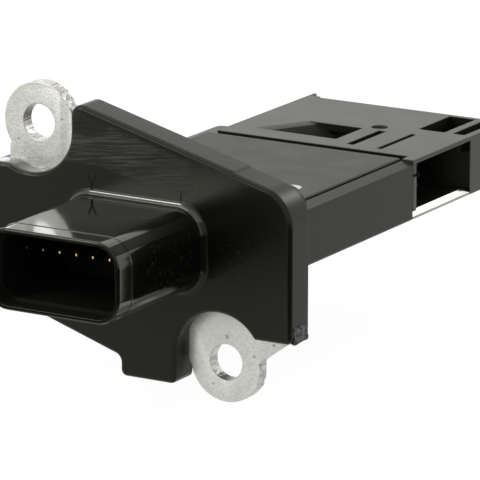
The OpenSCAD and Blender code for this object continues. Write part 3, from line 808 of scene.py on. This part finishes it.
# %% Gate stub
STUB_SIZE = (0.5, 3.5, 2.2)
STUB_MIDDLE = (25.35, -2.1, -8.9)
STUB_ROUGH = 0.1
torn_plastic = dull("torn_plastic", (0.001, 0.001, 0.001), (0.03, 0.029, 0.026), 0.3, 0.6, 0.12,
                    Specular_IOR_Level=0.3)
bpy.ops.object.select_all(action="DESELECT")
bpy.ops.mesh.primitive_cube_add(size=1 / MM)
stub = bpy.context.active_object
stub.name = "gate_stub"
bpy.ops.object.mode_set(mode="EDIT")
bpy.ops.mesh.select_all(action="SELECT")
bpy.ops.mesh.subdivide(number_cuts=4)
bpy.ops.transform.resize(value=STUB_SIZE)
bpy.ops.transform.vertex_random(offset=STUB_ROUGH / MM, uniform=1.0, normal=0.0, seed=11)
bpy.ops.transform.translate(value=Vector(STUB_MIDDLE) / MM)
bpy.ops.object.mode_set(mode="OBJECT")
torn_plastic.wear(stub)
belongs(stub)
print("gate stub with", len(stub.data.polygons), "faces")

# %% [markdown]
# ## Tapered pins
# A terminal's tip is coined to a blunt point on all four sides, so that it finds its socket.
# The CAD solid tapers from above and below only. A bevel could cut the sides as well, but
# drawing the points of the copy's tip together gives the same point in one step.

# %% Six pins
PINS = 6
PIN_TIP = -21.0
TIP_SHARE = 0.35
PIN_EDGE = 0.04
for number in range(1, PINS + 1):
    pin = whole_copy(f"terminal_{number}", f"tapered_pin_{number}")
    middle = sum((Vector(corner) for corner in pin.bound_box), Vector()) / len(pin.bound_box)
    pick_points(pin, lambda place: place.y < PIN_TIP + 0.1)
    bpy.ops.transform.resize(value=(TIP_SHARE, 1, 1), center_override=middle)
    bpy.ops.object.mode_set(mode="OBJECT")
    round_edges(pin, PIN_EDGE)
    gold.wear(pin)

# %% [markdown]
# ## The floor
# The part lies on a white table. A white floor under lamps would turn out grey. So where the
# camera or a mirroring face looks at it, most of its colour is plain glowing white, and the rest
# is lit as any floor, which keeps the part's shadow. The glow lights nothing else.

# %% White floor
def seen(graph):
    """1 for rays from the camera, from a mirror or through glass."""
    camera_ray, mirror_ray, glass_ray = (
        graph.node("ShaderNodeLightPath", output=name)
        for name in ("Is Camera Ray", "Is Glossy Ray", "Is Transmission Ray"))
    return graph.most(graph.most(camera_ray, mirror_ray), glass_ray)


FLOOR_SIZE = 8
FLOOR_GAP = 0.00005
FLOOR_GLOW = 1.075
GLOW_SHARE = 0.9
floor_height = cad_box[0][2] - FLOOR_GAP
bpy.ops.object.select_all(action="DESELECT")
bpy.ops.mesh.primitive_plane_add(size=FLOOR_SIZE, location=(0, 0, floor_height))
floor = bpy.context.active_object
floor.name = "floor"
white = Finish("white_floor")
white.set(Base_Color=(0.9, 0.9, 0.9), Roughness=0.8, Specular_IOR_Level=0.1)
glow = white.node("ShaderNodeEmission", inputs={"Color": (1, 1, 1, 1), "Strength": FLOOR_GLOW})
lit = Value(white, white.shader.outputs[0])
both = white.node("ShaderNodeMixShader", inputs={0: seen(white) * GLOW_SHARE, 1: lit, 2: glow})
white.feed(white.tree.nodes["Material Output"].inputs["Surface"], both)
white.wear(floor)
print("floor at", round(floor_height * MM, 2), "mm")

# %% [markdown]
# ## Black cards
# Black plastic looks black only where it mirrors something dark, and on a white table all is
# white. The plastic could be made duller, but then its highlights would go too. So two black
# cards lie on the table, as a photographer lays them: one before the connector's right side and
# one before the flange. Neither the camera nor the shadows know of them.

# %% Two cards on the floor
CARD_GAP = 0.001


def black_card(name, middle, size, turn):
    """Card with its middle and its two sizes in m, turned about Z by so many degrees."""
    bpy.ops.object.select_all(action="DESELECT")
    bpy.ops.mesh.primitive_plane_add(size=1, location=(*middle, floor_height + CARD_GAP))
    card = bpy.context.active_object
    card.name = name
    bpy.ops.transform.resize(value=(*size, 1))
    card.rotation_euler.z = math.radians(turn)
    card.visible_camera = False
    card.visible_shadow = False
    matt_black.wear(card)
    print(name, "lies at", middle)


matt_black = Finish("card_black")
matt_black.set(Base_Color=(0.01, 0.01, 0.01), Roughness=0.9, Specular_IOR_Level=0.1)
black_card("black_card", (0.125, -0.075), (0.2, 0.2), -30)
black_card("front_card", (-0.033, -0.091), (0.034, 0.06), -30)

# %% [markdown]
# ## The white room
# The room gives a weak even light from all sides. To the camera, to a mirror and through glass
# it shows as a white backdrop, which is brighter than the light that it gives.

# %% Room
ROOM_LIGHT = 0.36
BACKDROP = 1.15
world = bpy.data.worlds.new("white_room")
bpy.context.scene.world = world
world.use_nodes = True
room = Graph(world.node_tree)
background = room.tree.nodes["Background"]
background.inputs["Color"].default_value = (1, 1, 1, 1)
room.feed(background.inputs["Strength"], seen(room) * (BACKDROP - ROOM_LIGHT) + ROOM_LIGHT)
print("room light", ROOM_LIGHT, "and backdrop", BACKDROP)

# %% [markdown]
# ## Soft lamps
# A wide lamp hangs over the part. A small strong one stands high on the left and draws the white
# line round the connector's root. A low one stands left of the camera and lights the metal. One
# behind on the right draws the thin lines on the far edges, and a flat one behind on the left
# gives the white patch on top of the connector. A lamp could be given by its power. Here it is
# given by how bright its face is, so that it mirrors as brightly at any size and distance.

# %% Five lamps
AIM = (0, 0.01, 0)
LAMPS = {
    "top_lamp": {"way": (-0.24, -0.12, 0.96), "far": 0.85, "size": (0.5, 0.5), "radiance": 1.8},
    "key_lamp": {"way": (-0.49, -0.63, 0.6), "far": 1.1, "size": (0.12, 0.3), "radiance": 20.0},
    "low_lamp": {"way": (-0.49, -0.83, 0.2), "far": 1.0, "size": (0.3, 0.24), "radiance": 6.6},
    "back_lamp": {"way": (0.25, 0.83, 0.49), "far": 0.95, "size": (0.22, 0.2), "radiance": 9.0},
    "sweep_lamp": {"way": (-0.6, 0.76, 0.25), "far": 1.1, "size": (0.52, 0.12), "radiance": 1.7}}


def soft_lamp(name, way, far, size, radiance):
    """Oblong lamp that stands so far along way and faces the part, as bright as radiance says."""
    lamp = bpy.data.lights.new(name, "AREA")
    lamp.shape = "RECTANGLE"
    lamp.size, lamp.size_y = size
    lamp.energy = radiance * math.pi * size[0] * size[1]
    holder = bpy.data.objects.new(name, lamp)
    holder.location = Vector(way).normalized() * far
    holder.rotation_euler = (Vector(AIM) - holder.location).to_track_quat("-Z", "Y").to_euler()
    bpy.context.collection.objects.link(holder)
    holder.visible_camera = False
    print(name, "gives", round(lamp.energy, 2), "W")


for name, facts in LAMPS.items():
    soft_lamp(name, **facts)

# %% [markdown]
# ## Close
# Colours go to the picture as they are, with no film look over them.

# %% View
bpy.context.scene.view_settings.view_transform = "Standard"
